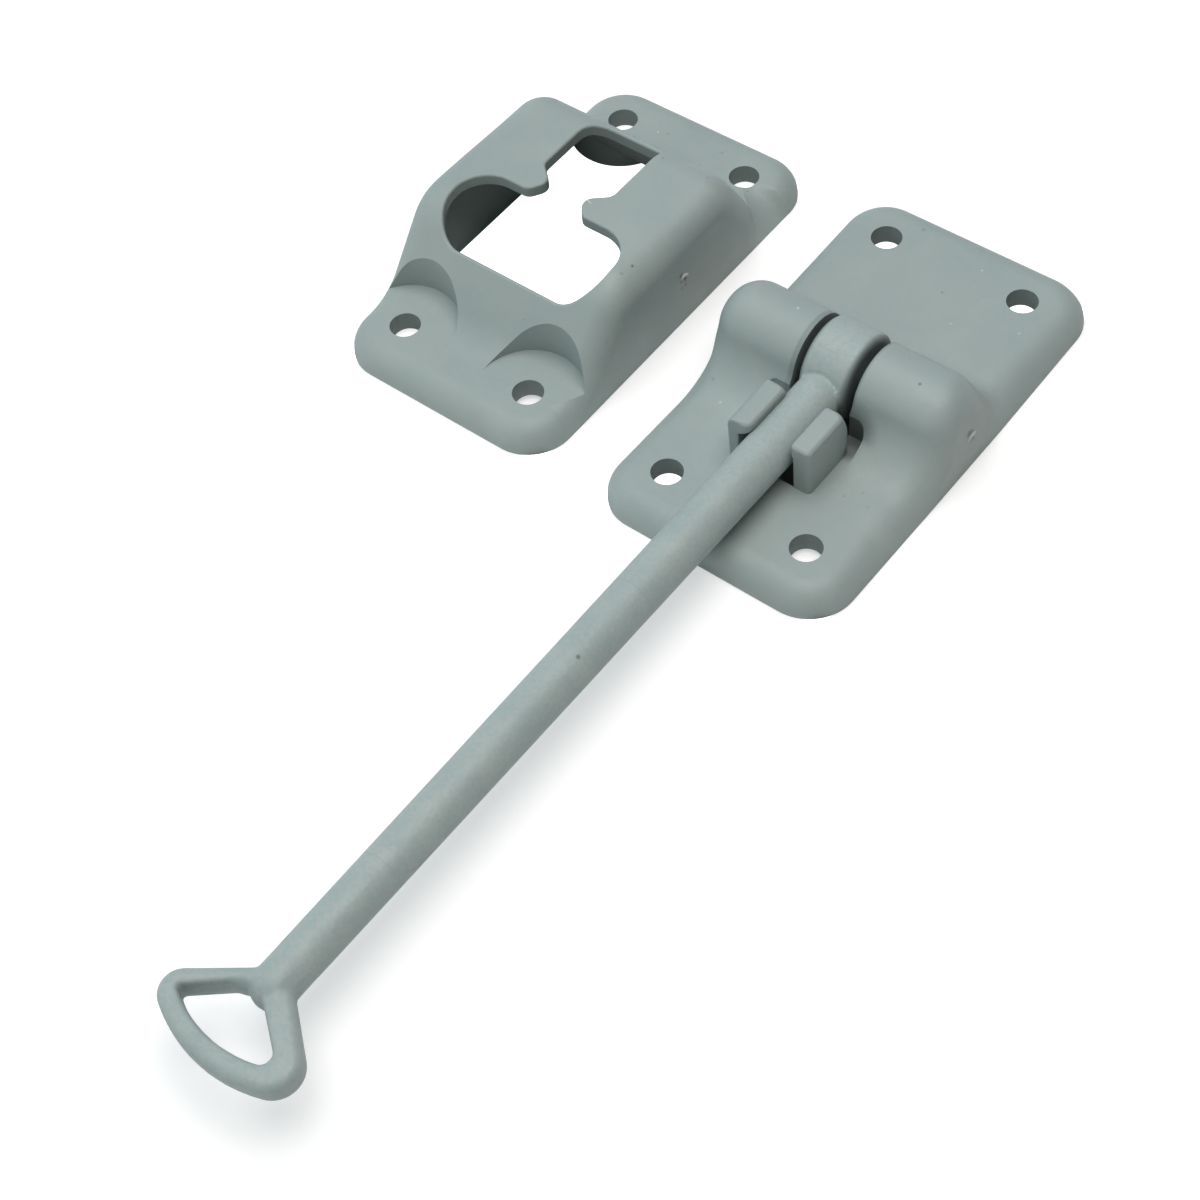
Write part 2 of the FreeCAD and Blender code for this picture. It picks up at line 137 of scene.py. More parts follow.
# plates and arm are moulded in one grey-green plastic; the arm is a little paler and more mottled
platePlastic = {
    "colour": (0.318, 0.378, 0.368, 1),
    "paler": (0.338, 0.396, 0.383, 1),
    "deeper": (0.300, 0.364, 0.357, 1),
    "cool": (0.292, 0.372, 0.375, 1),       # the two tints of the fine mottle
    "warm": (0.345, 0.385, 0.360, 1),
    "cloudScale": 60,
    "mottle": (900, 0.35),                  # scale and strength
    "grain": (1500, 0.00005),               # scale and depth
    "roughness": (0.46, 0.56),
    "speckScale": 230,
    "speckSize": 0.055,
    # place, radius and strength of the single specks that stand out
    "darkSpecks": (((-0.05927, 0.03076, 0.0047), 0.00035, 0.30),
                   ((-0.04843, 0.03206, 0.0047), 0.00045, 0.28),
                   ((-0.04636, 0.01352, 0.0190), 0.00040, 0.45),
                   ((-0.03756, 0.01401, 0.0189), 0.00040, 0.35),
                   ((-0.03586, -0.00858, 0.0185), 0.00042, 0.85),
                   ((-0.03616, -0.01098, 0.0187), 0.00040, 0.35),
                   ((-0.03375, -0.01897, 0.0112), 0.00030, 0.35),
                   ((0.01462, -0.00252, 0.0165), 0.00042, 0.75),
                   ((-0.00906, 0.03554, 0.0047), 0.00055, 0.30),
                   ((0.00137, 0.02514, 0.0047), 0.00035, 0.45),
                   ((0.01224, -0.01914, 0.0047), 0.00035, 0.30),
                   ((0.01645, -0.01898, 0.0047), 0.00030, 0.35),
                   ((0.01433, -0.01697, 0.0047), 0.00035, 0.25),
                   ((0.01042, 0.00106, 0.0164), 0.00030, 0.30),
                   ((-0.01793, -0.01203, 0.0060), 0.00040, 0.32)),
    "paleSpecks": (((0.00629, 0.02005, 0.0047), 0.00032, 0.55),
                   ((0.01653, 0.02431, 0.0047), 0.00036, 0.55),
                   ((-0.00973, 0.00008, 0.0166), 0.00038, 0.85),
                   ((-0.01459, -0.01465, 0.0050), 0.00034, 0.70),
                   ((-0.06271, 0.01520, 0.0183), 0.00036, 0.60)),
}

armPlastic = {
    "colour": (0.350, 0.418, 0.408, 1),
    "paler": (0.378, 0.440, 0.422, 1),
    "deeper": (0.322, 0.395, 0.390, 1),
    "cool": (0.315, 0.398, 0.398, 1),
    "warm": (0.388, 0.430, 0.402, 1),
    "cloudScale": 130,
    "mottle": (1500, 0.80),
    "grain": (1300, 0.00010),
    "roughness": (0.44, 0.58),
    "speckScale": 210,
    "speckSize": 0.060,
    "darkSpecks": (((0.00159, -0.07058, 0.0136), 0.00055, 0.75),
                   ((0.00020, -0.06710, 0.0138), 0.00035, 0.25)),
    "paleSpecks": (),
}

# what both plastics share
finish = {
    "cloudNoise": (4, 0.6, 0.4),            # detail, roughness and distortion
    "palerRange": (0.48, 0.68),
    "deeperRange": (0.52, 0.32),
    "mottleNoise": (3, 0.6),
    "mottleRanges": {"cool": (0.50, 0.36), "warm": (0.52, 0.66)},
    "patchScale": 300,
    "patchDetail": 3,
    "patchRange": (0.3, 0.7),
    "grainDetail": 2,
    "waveScale": 90,
    "waveShare": 3.0,
    "bumpStrength": 0.6,
}

speckLooks = {
    # shift and tint of the fine specks that are strewn at random
    "strewn": (((0, 0, 0), (0.10, 0.14, 0.15, 1)), ((3.1, 1.7, 5.3), (0.58, 0.62, 0.60, 1))),
    "strewnCore": 0.4,
    "strewnShare": (0.70, 0.95, 0, 0.85),   # only the cells with a high number show one
    "single": {"darkSpecks": (0.10, 0.105, 0.095, 1), "paleSpecks": (0.56, 0.60, 0.58, 1)},
    "singleCore": 0.2,
}


def addSpecks(nodes, links, place, values, colour):
    size = values["speckSize"]
    for offset, tint in speckLooks["strewn"]:
        cells = nodes.new("ShaderNodeTexVoronoi")
        cells.inputs["Scale"].default_value = values["speckScale"]
        links.new(addVector(nodes, links, "ADD", place, offset), cells.inputs["Vector"])
        spot = addRange(nodes, links, cells.outputs["Distance"], size, size * speckLooks["strewnCore"],
                        smooth=True)
        split = nodes.new("ShaderNodeSeparateColor")
        links.new(cells.outputs["Color"], split.inputs["Color"])
        chosen = addRange(nodes, links, split.outputs["Red"], *speckLooks["strewnShare"])
        colour = addTint(nodes, links, colour, spot, chosen, tint)
    for kind, tint in speckLooks["single"].items():
        for centre, radius, strength in values[kind]:
            spot = addSpot(nodes, links, place, centre, radius, speckLooks["singleCore"])
            colour = addTint(nodes, links, colour, spot, strength, tint)
    return colour


def makePlastic(name, values, addMarks):
    material, nodes, links = newMaterial(name)
    output = nodes.new("ShaderNodeOutputMaterial")
    shader = nodes.new("ShaderNodeBsdfPrincipled")
    links.new(shader.outputs["BSDF"], output.inputs["Surface"])
    place = nodes.new("ShaderNodeTexCoord").outputs["Object"]

    # slow clouds of colour, as flow leaves them in a moulding, and a finer mottle over them
    clouds = addNoise(nodes, links, place, values["cloudScale"], *finish["cloudNoise"])
    paler = addRange(nodes, links, clouds, *finish["palerRange"], smooth=True)
    deeper = addRange(nodes, links, clouds, *finish["deeperRange"], smooth=True)
    colour = addMix(nodes, links, paler, values["colour"], values["paler"])
    colour = addMix(nodes, links, deeper, colour, values["deeper"])
    scale, strength = values["mottle"]
    mottle = addNoise(nodes, links, place, scale, *finish["mottleNoise"])
    for tint, (low, high) in finish["mottleRanges"].items():
        amount = addRange(nodes, links, mottle, low, high, 0, strength)
        colour = addMix(nodes, links, amount, colour, values[tint])
    colour = addSpecks(nodes, links, place, values, colour)

    # satin, with a fine even grain and faint sink waves
    patches = addNoise(nodes, links, place, finish["patchScale"], finish["patchDetail"])
    rough = addRange(nodes, links, patches, *finish["patchRange"], *values["roughness"])
    scale, depth = values["grain"]
    grain = addNoise(nodes, links, place, scale, finish["grainDetail"])
    waves = addNoise(nodes, links, place, finish["waveScale"], finish["grainDetail"])
    height = addMath(nodes, links, "ADD", grain, addProduct(nodes, links, waves, finish["waveShare"]))
    height = addProduct(nodes, links, height, depth)
    colour, height = addMarks(nodes, links, place, colour, height)
    links.new(colour, shader.inputs["Base Color"])
    links.new(rough, shader.inputs["Roughness"])
    bump = nodes.new("ShaderNodeBump")
    bump.inputs["Strength"].default_value = finish["bumpStrength"]
    bump.inputs["Distance"].default_value = 1.0
    links.new(height, bump.inputs["Height"])
    links.new(bump.outputs["Normal"], shader.inputs["Normal"])
    return material


# painted shade: the closed-in places beside the barrel and behind the clip are darkened in the colour, where
# shade falls, so they are darker than the open faces
paintedRecessShade = {
    "pivot": (-0.0009, 0.00975),            # y and z of the hinge
    "shade": (0.050, 0.062, 0.060, 1),
    "wallRadii": (0.0084, 0.0058),          # the gap's walls, inside a circle round the hinge
    "wallHalf": (0.0064, 0.0061),
    "wallStrength": 0.5,
    "barrelEnd": (0.0032, 0.0045),
    "barrelRadius": (0.0085, 0.0080),
    "barrelStrength": 0.75,
    # middle, reach, strength and front end of the shade behind the clip, on the wall and on the floor
    "pockets": (((0.0066, -0.0090, 0.0070), 0.0060, 0.80, -0.0110),
                ((0.0076, -0.0108, 0.0046), 0.0034, 0.75, -0.0140)),
    "pocketCore": 0.3,
    "pocketFade": 0.001,
}


# paints shade into the colour: on the barrel's ends for the arm, and on the gap's walls and behind the clip
# for the plates
def addPaintedRecessShade(nodes, links, place, colour, isArm):
    x, y, z = addSplit(nodes, links, place)
    side = addMath(nodes, links, "ABSOLUTE", x)
    away = addMath(nodes, links, "SUBTRACT", y, paintedRecessShade["pivot"][0])
    rise = addMath(nodes, links, "SUBTRACT", z, paintedRecessShade["pivot"][1])
    squares = addMath(nodes, links, "ADD", addProduct(nodes, links, away, away),
                      addProduct(nodes, links, rise, rise))
    radius = addMath(nodes, links, "SQRT", squares)
    if isArm:
        paintedShade = addProduct(nodes, links, addRange(nodes, links, side, *paintedRecessShade["barrelEnd"], smooth=True),
                          addRange(nodes, links, radius, *paintedRecessShade["barrelRadius"], smooth=True))
        return addTint(nodes, links, colour, paintedShade, paintedRecessShade["barrelStrength"], paintedRecessShade["shade"])
    paintedShade = addProduct(nodes, links, addRange(nodes, links, radius, *paintedRecessShade["wallRadii"], smooth=True),
                      addRange(nodes, links, side, *paintedRecessShade["wallHalf"]))
    colour = addTint(nodes, links, colour, paintedShade, paintedRecessShade["wallStrength"], paintedRecessShade["shade"])
    for centre, reach, strength, front in paintedRecessShade["pockets"]:
        paintedShade = addProduct(nodes, links, addSpot(nodes, links, place, centre, reach, paintedRecessShade["pocketCore"]),
                          addRange(nodes, links, y, front, front + paintedRecessShade["pocketFade"]))
        colour = addTint(nodes, links, colour, paintedShade, strength, paintedRecessShade["shade"])
    return colour


# where the sprue was twisted off the right side of each plate: hollows beside a torn ridge, dented a little
# in the bump and darkened with painted shade
gateDentsAndPaintedShade = {
    # place, radius and strength
    "hollows": (((-0.0329, 0.00078, 0.00932), 0.00075, 0.75), ((-0.0329, -0.00020, 0.01070), 0.00075, 0.60),
                ((-0.0329, -0.00035, 0.00960), 0.00060, 0.45), ((-0.0329, 0.00075, 0.00800), 0.00060, 0.35),
                ((-0.0329, -0.00010, 0.00780), 0.00060, 0.30), ((0.0227, -0.00048, 0.00815), 0.00090, 0.70),
                ((0.0227, 0.00015, 0.00800), 0.00070, 0.45), ((0.0227, 0.00044, 0.00620), 0.00080, 0.40)),
    "shade": (0.085, 0.095, 0.090, 1),
    "core": 0.1,
    "depth": 0.0002,
}


def addGateDentsAndPaintedShade(nodes, links, place, colour, height):
    for centre, radius, strength in gateDentsAndPaintedShade["hollows"]:
        spot = addSpot(nodes, links, place, centre, radius, gateDentsAndPaintedShade["core"])
        colour = addTint(nodes, links, colour, spot, strength, gateDentsAndPaintedShade["shade"])
        height = addMath(nodes, links, "SUBTRACT", height,
                         addProduct(nodes, links, spot, gateDentsAndPaintedShade["depth"]))
    # painted shade in the closed-in places is added as well
    return addPaintedRecessShade(nodes, links, place, colour, False), height


# faint lines that the mould's inserts leave across the rod and the barrel
witnessLines = {
    "shade": (0.27, 0.32, 0.31, 1),
    "rod": (-0.0561, -0.1122),
    "rodHalfWidth": 0.00018,
    "rodHeight": 0.00003,
    "rodStrength": 0.35,
    "wanderScale": 160,
    "wander": 0.0006,
    "barrel": (-0.001, -0.00435),           # x and y of the line's middle
    "barrelBend": 47.0,
    "barrelHalfWidth": 0.00016,
    "barrelTop": (0.0145, 0.0155),
    "barrelStrength": 0.45,
}


def addWitnessLinesAndPaintedShade(nodes, links, place, colour, height):
    x, y, z = addSplit(nodes, links, place)
    wander = witnessLines["wander"]
    drift = addProduct(nodes, links, addNoise(nodes, links, place, witnessLines["wanderScale"], 1), wander)
    along = addMath(nodes, links, "ADD", y, drift)
    for middle in witnessLines["rod"]:
        away = addDistance(nodes, links, along, middle + wander / 2)
        line = addRange(nodes, links, away, witnessLines["rodHalfWidth"], 0, smooth=True)
        colour = addTint(nodes, links, colour, line, witnessLines["rodStrength"], witnessLines["shade"])
        height = addMath(nodes, links, "ADD", height,
                         addProduct(nodes, links, line, witnessLines["rodHeight"]))

    # the barrel's hair line bends a little across it
    middle, start = witnessLines["barrel"]
    side = addMath(nodes, links, "SUBTRACT", x, middle)
    bend = addProduct(nodes, links, addProduct(nodes, links, side, side), witnessLines["barrelBend"])
    away = addDistance(nodes, links, addMath(nodes, links, "SUBTRACT", y, start), bend)
    line = addProduct(nodes, links,
                      addRange(nodes, links, away, witnessLines["barrelHalfWidth"], 0, smooth=True),
                      addRange(nodes, links, z, *witnessLines["barrelTop"]))
    colour = addTint(nodes, links, colour, line, witnessLines["barrelStrength"], witnessLines["shade"])
    # the barrel's ends get painted shade as well
    return addPaintedRecessShade(nodes, links, place, colour, True), height


def coat(piece, material):
    piece.data.materials.clear()
    piece.data.materials.append(material)


plateMaterial = makePlastic("platePlastic", platePlastic, addGateDentsAndPaintedShade)
armMaterial = makePlastic("armPlastic", armPlastic, addWitnessLinesAndPaintedShade)
for name in ("keeper", "holder_base"):
    coat(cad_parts[name], plateMaterial)
print("materials made")


def newPiece(name, form):
    mesh = bpy.data.meshes.new(name)
    form.to_mesh(mesh)
    form.free()
    piece = bpy.data.objects.new(name, mesh)
    scene.collection.objects.link(piece)
    return piece


# a merged copy of a node's mesh, which keeps the node's shading in an attribute
def copyOfNode(name, pieceName):
    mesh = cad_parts[name].data.copy()
    mesh.name = pieceName
    kept = mesh.attributes.new("keptNormal", "FLOAT_VECTOR", "CORNER")
    for normal, slot in zip(mesh.corner_normals, kept.data):
        slot.vector = normal.vector
    form = bmesh.new()
    form.from_mesh(mesh)
    bmesh.ops.remove_doubles(form, verts=form.verts, dist=0.000001)
    form.to_mesh(mesh)
    form.free()
    piece = bpy.data.objects.new(pieceName, mesh)
    scene.collection.objects.link(piece)
    return piece


def smoothFaces(piece):
    for polygon in piece.data.polygons:
        polygon.use_smooth = True


# gives a copy the node's own shading back after its faces were cut
def restoreShading(piece):
    mesh = piece.data
    normals = [Vector(slot.vector).normalized() for slot in mesh.attributes["keptNormal"].data]
    smoothFaces(piece)
    mesh.normals_split_custom_set(normals)
    mesh.attributes.remove(mesh.attributes["keptNormal"])


# rebuilds a piece as one closed skin
def growSkin(piece, voxel):
    remesh = piece.modifiers.new("skin", "REMESH")
    remesh.mode = "VOXEL"
    remesh.voxel_size = voxel
    scene.view_layers[0].update()
    graph = bpy.context.evaluated_depsgraph_get()
    finished = bpy.data.meshes.new_from_object(piece.evaluated_get(graph))
    piece.modifiers.clear()
    piece.data = finished


def soften(form, verts, factor):
    bmesh.ops.smooth_vert(form, verts=verts, factor=factor, use_axis_x=True, use_axis_y=True,
                          use_axis_z=True)


# runs softly from 0 at one value to 1 at a lower one
def softShare(value, start, full):
    share = min(max((start - value) / (start - full), 0.0), 1.0)
    return share * share * (3 - 2 * share)


# the arm: one moulding whose loop flows into the rod
armShape = {
    "voxel": 0.00026,
    "pivot": (0.0, -0.0009, 0.00975),       # the rod's axis starts here as well
    "rodEnd": (0.0, -0.1337, 0.01082),
    "rodRadii": (0.00405, 0.0034),
    "trueFrom": -0.0100,                    # between these the rod is set back on its true cone
    "trueTo": -0.1290,
    "meetFrom": -0.0065,                    # rod and barrel meet in a crease from here forwards
    "meetHalf": 0.0043,
    "rodNear": 0.0008,                      # how far off a face may lie that goes back on the rod
    "barrelClear": 0.0005,
    "flatShare": 0.15,                      # the rod's top is a little flat where it meets the barrel
    "barrelRadius": 0.0074,
    "barrelHalf": 0.0030,                   # the barrel's straight band
    "barrelNear": 0.0012,
    "blendFrom": -0.1312,                   # the loop is softened from here on, fully past its roots
    "blendFull": -0.1350,
    "softenings": 6,
    "softenFactor": 0.5,
    "swell": 0.00005,                       # makes up for what softening takes off the bars
    "lastFactor": 0.3,
}


# the rod and the barrel go back on their true round forms
def trueArm(form, values):
    pivot = Vector(values["pivot"])
    axis = Vector(values["rodEnd"]) - pivot
    length = axis.length
    axis.normalize()
    thick, thin = values["rodRadii"]
    for vertex in form.verts:
        place = vertex.co
        reach = (place - pivot).dot(axis)
        centre = pivot + axis * reach
        radius = thick + (thin - thick) * reach / length
        if values["trueTo"] < place.y < values["trueFrom"]:
            vertex.co = centre + (place - centre).normalized() * radius
        elif abs(place.x) < values["meetHalf"] and place.y > values["trueFrom"]:
            away = Vector((0, place.y - pivot.y, place.z - pivot.z))
            offBarrel = away.length - values["barrelRadius"]
            offRod = (place - centre).length - radius
            inBand = abs(place.x) < values["barrelHalf"]
            clear = offBarrel > values["barrelClear"] or (inBand and offBarrel > offRod)
            if place.y < values["meetFrom"] and offRod < values["rodNear"] and clear:
                vertex.co = centre + (place - centre).normalized() * radius
                if vertex.co.z > centre.z:
                    flat = softShare(-vertex.co.y, -values["trueFrom"], -values["meetFrom"])
                    vertex.co.z -= (vertex.co.z - centre.z) * values["flatShare"] * flat
            elif inBand and abs(offBarrel) < values["barrelNear"]:
                onAxis = Vector((place.x, pivot.y, pivot.z))
                vertex.co = onAxis + away.normalized() * values["barrelRadius"]


def makeArm(values):
    arm = copyOfNode("catch_arm", "armMoulding")
    growSkin(arm, values["voxel"])
    form = bmesh.new()
    form.from_mesh(arm.data)
    trueArm(form, values)

    # the loop is softened as the moulding is, more the further it is from the rod
    loop = [v for v in form.verts if v.co.y < values["blendFrom"]]
    shares = {v: softShare(v.co.y, values["blendFrom"], values["blendFull"]) for v in loop}
    for turn in range(values["softenings"]):
        level = turn / values["softenings"]
        soften(form, [v for v in loop if shares[v] > level], values["softenFactor"])
    form.normal_update()
    for vertex in loop:
        vertex.co += vertex.normal * values["swell"] * shares[vertex]
    print("loop vertices softened:", len(loop))

    # one pass over everything takes the last steps off
    soften(form, form.verts, values["lastFactor"])
    form.to_mesh(arm.data)
    form.free()
    smoothFaces(arm)
    coat(arm, armMaterial)
    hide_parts("catch_arm")
    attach(arm, "arm")
    print("arm made:", len(arm.data.vertices), "vertices")


makeArm(armShape)


# the holder keeps its form, apart from its stiff fingers, a gap wall and its rims; in mm
holderShape = {
    "cutHeight": 4.72,                      # the stiff fingers come off above this
    "cutBox": (4.05, 7.95, -22.1, -10.55),  # their inner and outer sides, front and rear
    "cutSlack": 0.1,
    "gapWall": -5.95,                       # the left wall of the barrel's gap stands closer to the barrel
    "gapSlack": 0.1,
    "gapShift": 0.6,
    "gapFade": 2.4,
    "gapFront": -9.2,
    # y, and how far the plate's left and right rims stand to the right there
    "rim": ((-39.0, 0.20, 0.15), (-10.0, 0.60, 0.55), (10.0, 0.50, 0.70), (39.0, 0.10, 0.50)),
    "rimFrom": 16.0,
    "rimTo": 21.0,
    "rimHeight": (5.0, 9.0),
}


# how far a rim stands to the right at one place along the plate
def rimShift(table, y, column):
    y = min(max(y, table[0][0]), table[-1][0])
    for low, high in zip(table, table[1:]):
        if y <= high[0]:
            share = (y - low[0]) / (high[0] - low[0])
            return low[column] + (high[column] - low[column]) * share


def shiftWallAndRims(form, values):
    wall = values["gapWall"]
    low, high = values["rimHeight"]
    for vertex in form.verts:
        place = vertex.co / mm
        inGap = wall - values["gapFade"] < place.x < wall + values["gapSlack"]
        if inGap and place.y > values["gapFront"]:
            share = softShare(-place.x, values["gapFade"] - wall, -wall)
            vertex.co.x += values["gapShift"] * mm * share
        if abs(place.x) > values["rimFrom"] and place.z < high:
            share = softShare(-abs(place.x), -values["rimFrom"], -values["rimTo"])
            share *= softShare(-place.z, -high, -low)
            column = 1 if place.x < 0 else 2
            vertex.co.x += rimShift(values["rim"], place.y, column) * share * mm


def makeHolder(values):
    holder = copyOfNode("holder_base", "holderMoulding")
    form = bmesh.new()
    form.from_mesh(holder.data)
    height = values["cutHeight"] * mm
    slack = values["cutSlack"] * mm
    low, high, front, rear = [value * mm for value in values["cutBox"]]

    def inside(face):
        middle = face.calc_center_median()
        return low < abs(middle.x) < high and front < middle.y < rear and \
            all(low - slack < abs(v.co.x) < high for v in face.verts)

    near = [face for face in form.faces if inside(face)]
    edges = {edge for face in near for edge in face.edges}
    corners = {vertex for face in near for vertex in face.verts}
    bmesh.ops.bisect_plane(form, geom=near + list(edges) + list(corners), dist=0.0000001,
                           plane_co=(0, 0, height), plane_no=(0, 0, 1))
    gone = [face for face in form.faces if inside(face) and face.calc_center_median().z > height]
    bmesh.ops.delete(form, geom=gone, context="FACES")
    shiftWallAndRims(form, values)
    form.to_mesh(holder.data)
    form.free()
    restoreShading(holder)
    coat(holder, plateMaterial)
    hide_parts("holder_base")
    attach(holder, "base")
    print("holder made, finger faces taken out:", len(gone))


# the clip: two fingers whose noses hug the rod; in mm, by side where right and left differ
fingerShape = {
    "front": {1: -22.1, -1: -22.7},
    "rear": {1: -10.7, -1: -11.1},
    "top": 14.3,
    # sections are (x, z) from the middle outwards
    "right": ((4.80, 2.6), (7.85, 2.6), (7.85, 14.3), (4.15, 14.3), (4.15, 12.1), (4.80, 11.2)),
    "left": ((5.07, 2.6), (7.20, 2.6), (7.20, 12.3), (7.08, 13.0), (6.72, 13.65), (6.15, 14.1), (5.40, 14.3),
             (2.85, 14.3), (2.85, 12.6), (5.07, 11.3)),
    "rearRound": (1.8, 6),                  # width and segments
    "frontRound": (0.8, 4),
    "noseRound": {1: (0.8, 4), -1: (1.4, 4)},
    "noseSide": 4.6,
    "noseHeight": (0.5, 2.5),
    "topChamfer": (0.45, 1),
    "voxel": 0.13,
    "softenings": 8,
    "softenFactor": 0.5,
    "leanFrom": 9.2,                        # the rear end leans forward in a soft curve towards the top
    "leanTo": 16.3,
    "leanGain": 1.3,
    "lean": 1.7,
    "leanReach": 5.0,
}


def bevelWhere(form, chosen, rounding):
    width, segments = rounding
    edges = [edge for edge in form.edges if chosen(*[v.co for v in edge.verts])]
    bmesh.ops.bevel(form, geom=edges, affect="EDGES", offset=width, offset_type="OFFSET",
                    segments=segments, profile=0.5, material=-1)


def roundFinger(form, side, section, values):
    outer = max(x for x, z in section)
    top = values["top"] - 0.01
    middle = values["front"][side] + 1
    low, high = values["noseHeight"]

    def outerCorner(a, b):
        return abs(a.z - b.z) > 1 and abs(a.x - b.x) < 0.01 and abs(abs(a.x) - outer) < 0.01

    def noseCorner(a, b):
        return abs(a.y - b.y) < 0.1 and low < abs(a.z - b.z) < high and \
            max(abs(a.x), abs(b.x)) < values["noseSide"]

    bevelWhere(form, lambda a, b: outerCorner(a, b) and a.y > middle, values["rearRound"])
    bevelWhere(form, lambda a, b: outerCorner(a, b) and a.y < middle, values["frontRound"])
    bevelWhere(form, noseCorner, values["noseRound"][side])
    bevelWhere(form, lambda a, b: a.z > top and b.z > top, values["topChamfer"])


def makeFinger(name, side, section, values):
    form = bmesh.new()
    front = values["front"][side]
    rearEnd = values["rear"][side]
    outline = [form.verts.new((side * x, front, z)) for x, z in section]
    face = form.faces.new(outline)
    grown = bmesh.ops.extrude_face_region(form, geom=[face])
    rear = [v for v in grown["geom"] if isinstance(v, bmesh.types.BMVert)]
    bmesh.ops.translate(form, verts=rear, vec=(0, rearEnd - front, 0))
    bmesh.ops.recalc_face_normals(form, faces=form.faces)
    roundFinger(form, side, section, values)
    bmesh.ops.scale(form, verts=form.verts, vec=(mm, mm, mm))
    bmesh.ops.recalc_face_normals(form, faces=form.faces)
    finger = newPiece(name, form)
    growSkin(finger, values["voxel"] * mm)

    form = bmesh.new()
    form.from_mesh(finger.data)
    for turn in range(values["softenings"]):
        soften(form, form.verts, values["softenFactor"])
    leanStart = rearEnd - values["leanReach"]
    for vertex in form.verts:
        place = vertex.co / mm
        rise = softShare(-place.z, -values["leanFrom"], -values["leanTo"]) * values["leanGain"]
        back = min(max((place.y - leanStart) / values["leanReach"], 0), 1)
        vertex.co.y -= values["lean"] * rise * back * mm
    form.to_mesh(finger.data)
    form.free()
    smoothFaces(finger)
    coat(finger, plateMaterial)
    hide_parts("holder_base")
    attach(finger, "base")
    print(name, "made:", len(finger.data.vertices), "vertices")


makeHolder(holderShape)
makeFinger("rightFinger", 1, fingerShape["right"], fingerShape)
makeFinger("leftFinger", -1, fingerShape["left"], fingerShape)


# the torn ridges themselves, and a sliver of flash at the tip of a barb
tears = {
    "voxel": 0.07,
    "colour": (0.60, 0.61, 0.57, 1),
    "roughness": 0.6,
    "roundness": 3,
    # beads as x, y, z and radius, in mm
    "keeperTear": ((-32.92, -0.10, 9.60, 0.13), (-32.90, 0.02, 9.90, 0.20), (-32.88, 0.25, 10.15, 0.26),
                   (-32.86, 0.58, 10.28, 0.28), (-32.84, 0.92, 10.15, 0.32), (-32.84, 1.25, 9.92, 0.30),
                   (-32.95, 0.20, 9.30, 0.14), (-32.95, 0.36, 8.80, 0.14), (-32.95, 0.38, 8.30, 0.13),
                   (-32.97, 0.36, 7.80, 0.12)),
    "holderTear": ((22.70, -0.95, 6.40, 0.12), (22.72, -0.75, 6.70, 0.16), (22.74, -0.45, 6.95, 0.20),
                   (22.76, -0.10, 7.12, 0.22), (22.76, 0.25, 7.20, 0.25), (22.76, 0.60, 7.22, 0.27),
                   (22.74, 0.95, 7.18, 0.22)),
    "barbTear": ((-50.70, -1.38, 19.17, 0.13), (-50.45, -1.44, 19.20, 0.19), (-50.15, -1.50, 19.21, 0.17),
                 (-49.85, -1.56, 19.18, 0.14), (-49.60, -1.62, 19.16, 0.10)),
}


def makeTear(name, values, material):
    form = bmesh.new()
    for x, y, z, radius in values[name]:
        bead = bmesh.ops.create_icosphere(form, subdivisions=values["roundness"], radius=radius * mm)
        bmesh.ops.translate(form, verts=bead["verts"], vec=(x * mm, y * mm, z * mm))
    tear = newPiece(name, form)
    growSkin(tear, values["voxel"] * mm)
    smoothFaces(tear)
    coat(tear, material)
    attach(tear, "base")


tornMaterial, tornNodes, tornLinks = newMaterial("tornPlastic")
tornShader = tornNodes.new("ShaderNodeBsdfPrincipled")
tornShader.inputs["Base Color"].default_value = tears["colour"]
tornShader.inputs["Roughness"].default_value = tears["roughness"]
tornOutput = tornNodes.new("ShaderNodeOutputMaterial")
tornLinks.new(tornShader.outputs["BSDF"], tornOutput.inputs["Surface"])
for name in ("keeperTear", "holderTear", "barbTear"):
    makeTear(name, tears, tornMaterial)
print("torn places made")


# floor and lights
studio = {
    "floorSize": 4.0,
    "floorColour": (0.86, 0.86, 0.86, 1),   # what the object sees
    "floorSeen": (0.68, 0.68, 0.68, 1),     # what the camera sees
    "floorLift": 0.42,                      # a little plain white on top, so that only real shadows show
    "lamps": {                              # place, size, power and colour
        "topBox": ((0.03, 0.02, 0.90), 0.80, 6.0, (1.03, 0.99, 0.97)),
    },
    "aim": (-0.03, -0.05, 0),
    "sky": (((-1.0, 0.0, 0.35), (0.48, 0.58, 0.63)),    # cool from the left, a little warm from the front
            ((0.0, -1.0, 0.35), (0.27, 0.27, 0.25))),
    "skyRange": (-0.2, 0.9),
}

# painted light and shade on the floor: it glows white where it shows through the keyhole and the screw
# holes, and is painted dark only under the clip, where it lies in shadow
floorPatches = {
    # middle, and half the width and the length
    "paintedLightAndShade": (((-0.055, -0.0004), (0.0215, 0.0380)), ((0.0, 0.0), (0.0218, 0.0392))),
    "paintedShade": ((0.0, -0.0085), (0.0110, 0.0170)),
    "paintedShadeColour": (0.18, 0.20, 0.19, 1),
    # painted shade: under the plates the floor is darker in the light it bounces onto their insides
    "shutColour": (0.40, 0.41, 0.40, 1),    # what the plates' insides see
    "edge": 0.0006,
    # screw holes through which the wall looks shaded: place, radius and how much
    "shaded": (((-0.04175, -0.0301, 0), 0.0065, 0.86), ((0.0132, -0.0306, 0), 0.0065, 0.86),
               ((-0.06825, -0.0301, 0), 0.0065, 0.62), ((-0.04175, 0.0293, 0), 0.0065, 0.48),
               ((-0.06825, 0.0293, 0), 0.0065, 0.48)),
    "shadedCore": 0.6,
}


def addPatch(nodes, links, place, patch):
    shares = []
    for along, middle, half in zip(addSplit(nodes, links, place), *patch):
        away = addDistance(nodes, links, along, middle)
        shares.append(addRange(nodes, links, away, half, half - floorPatches["edge"]))
    return addProduct(nodes, links, *shares)


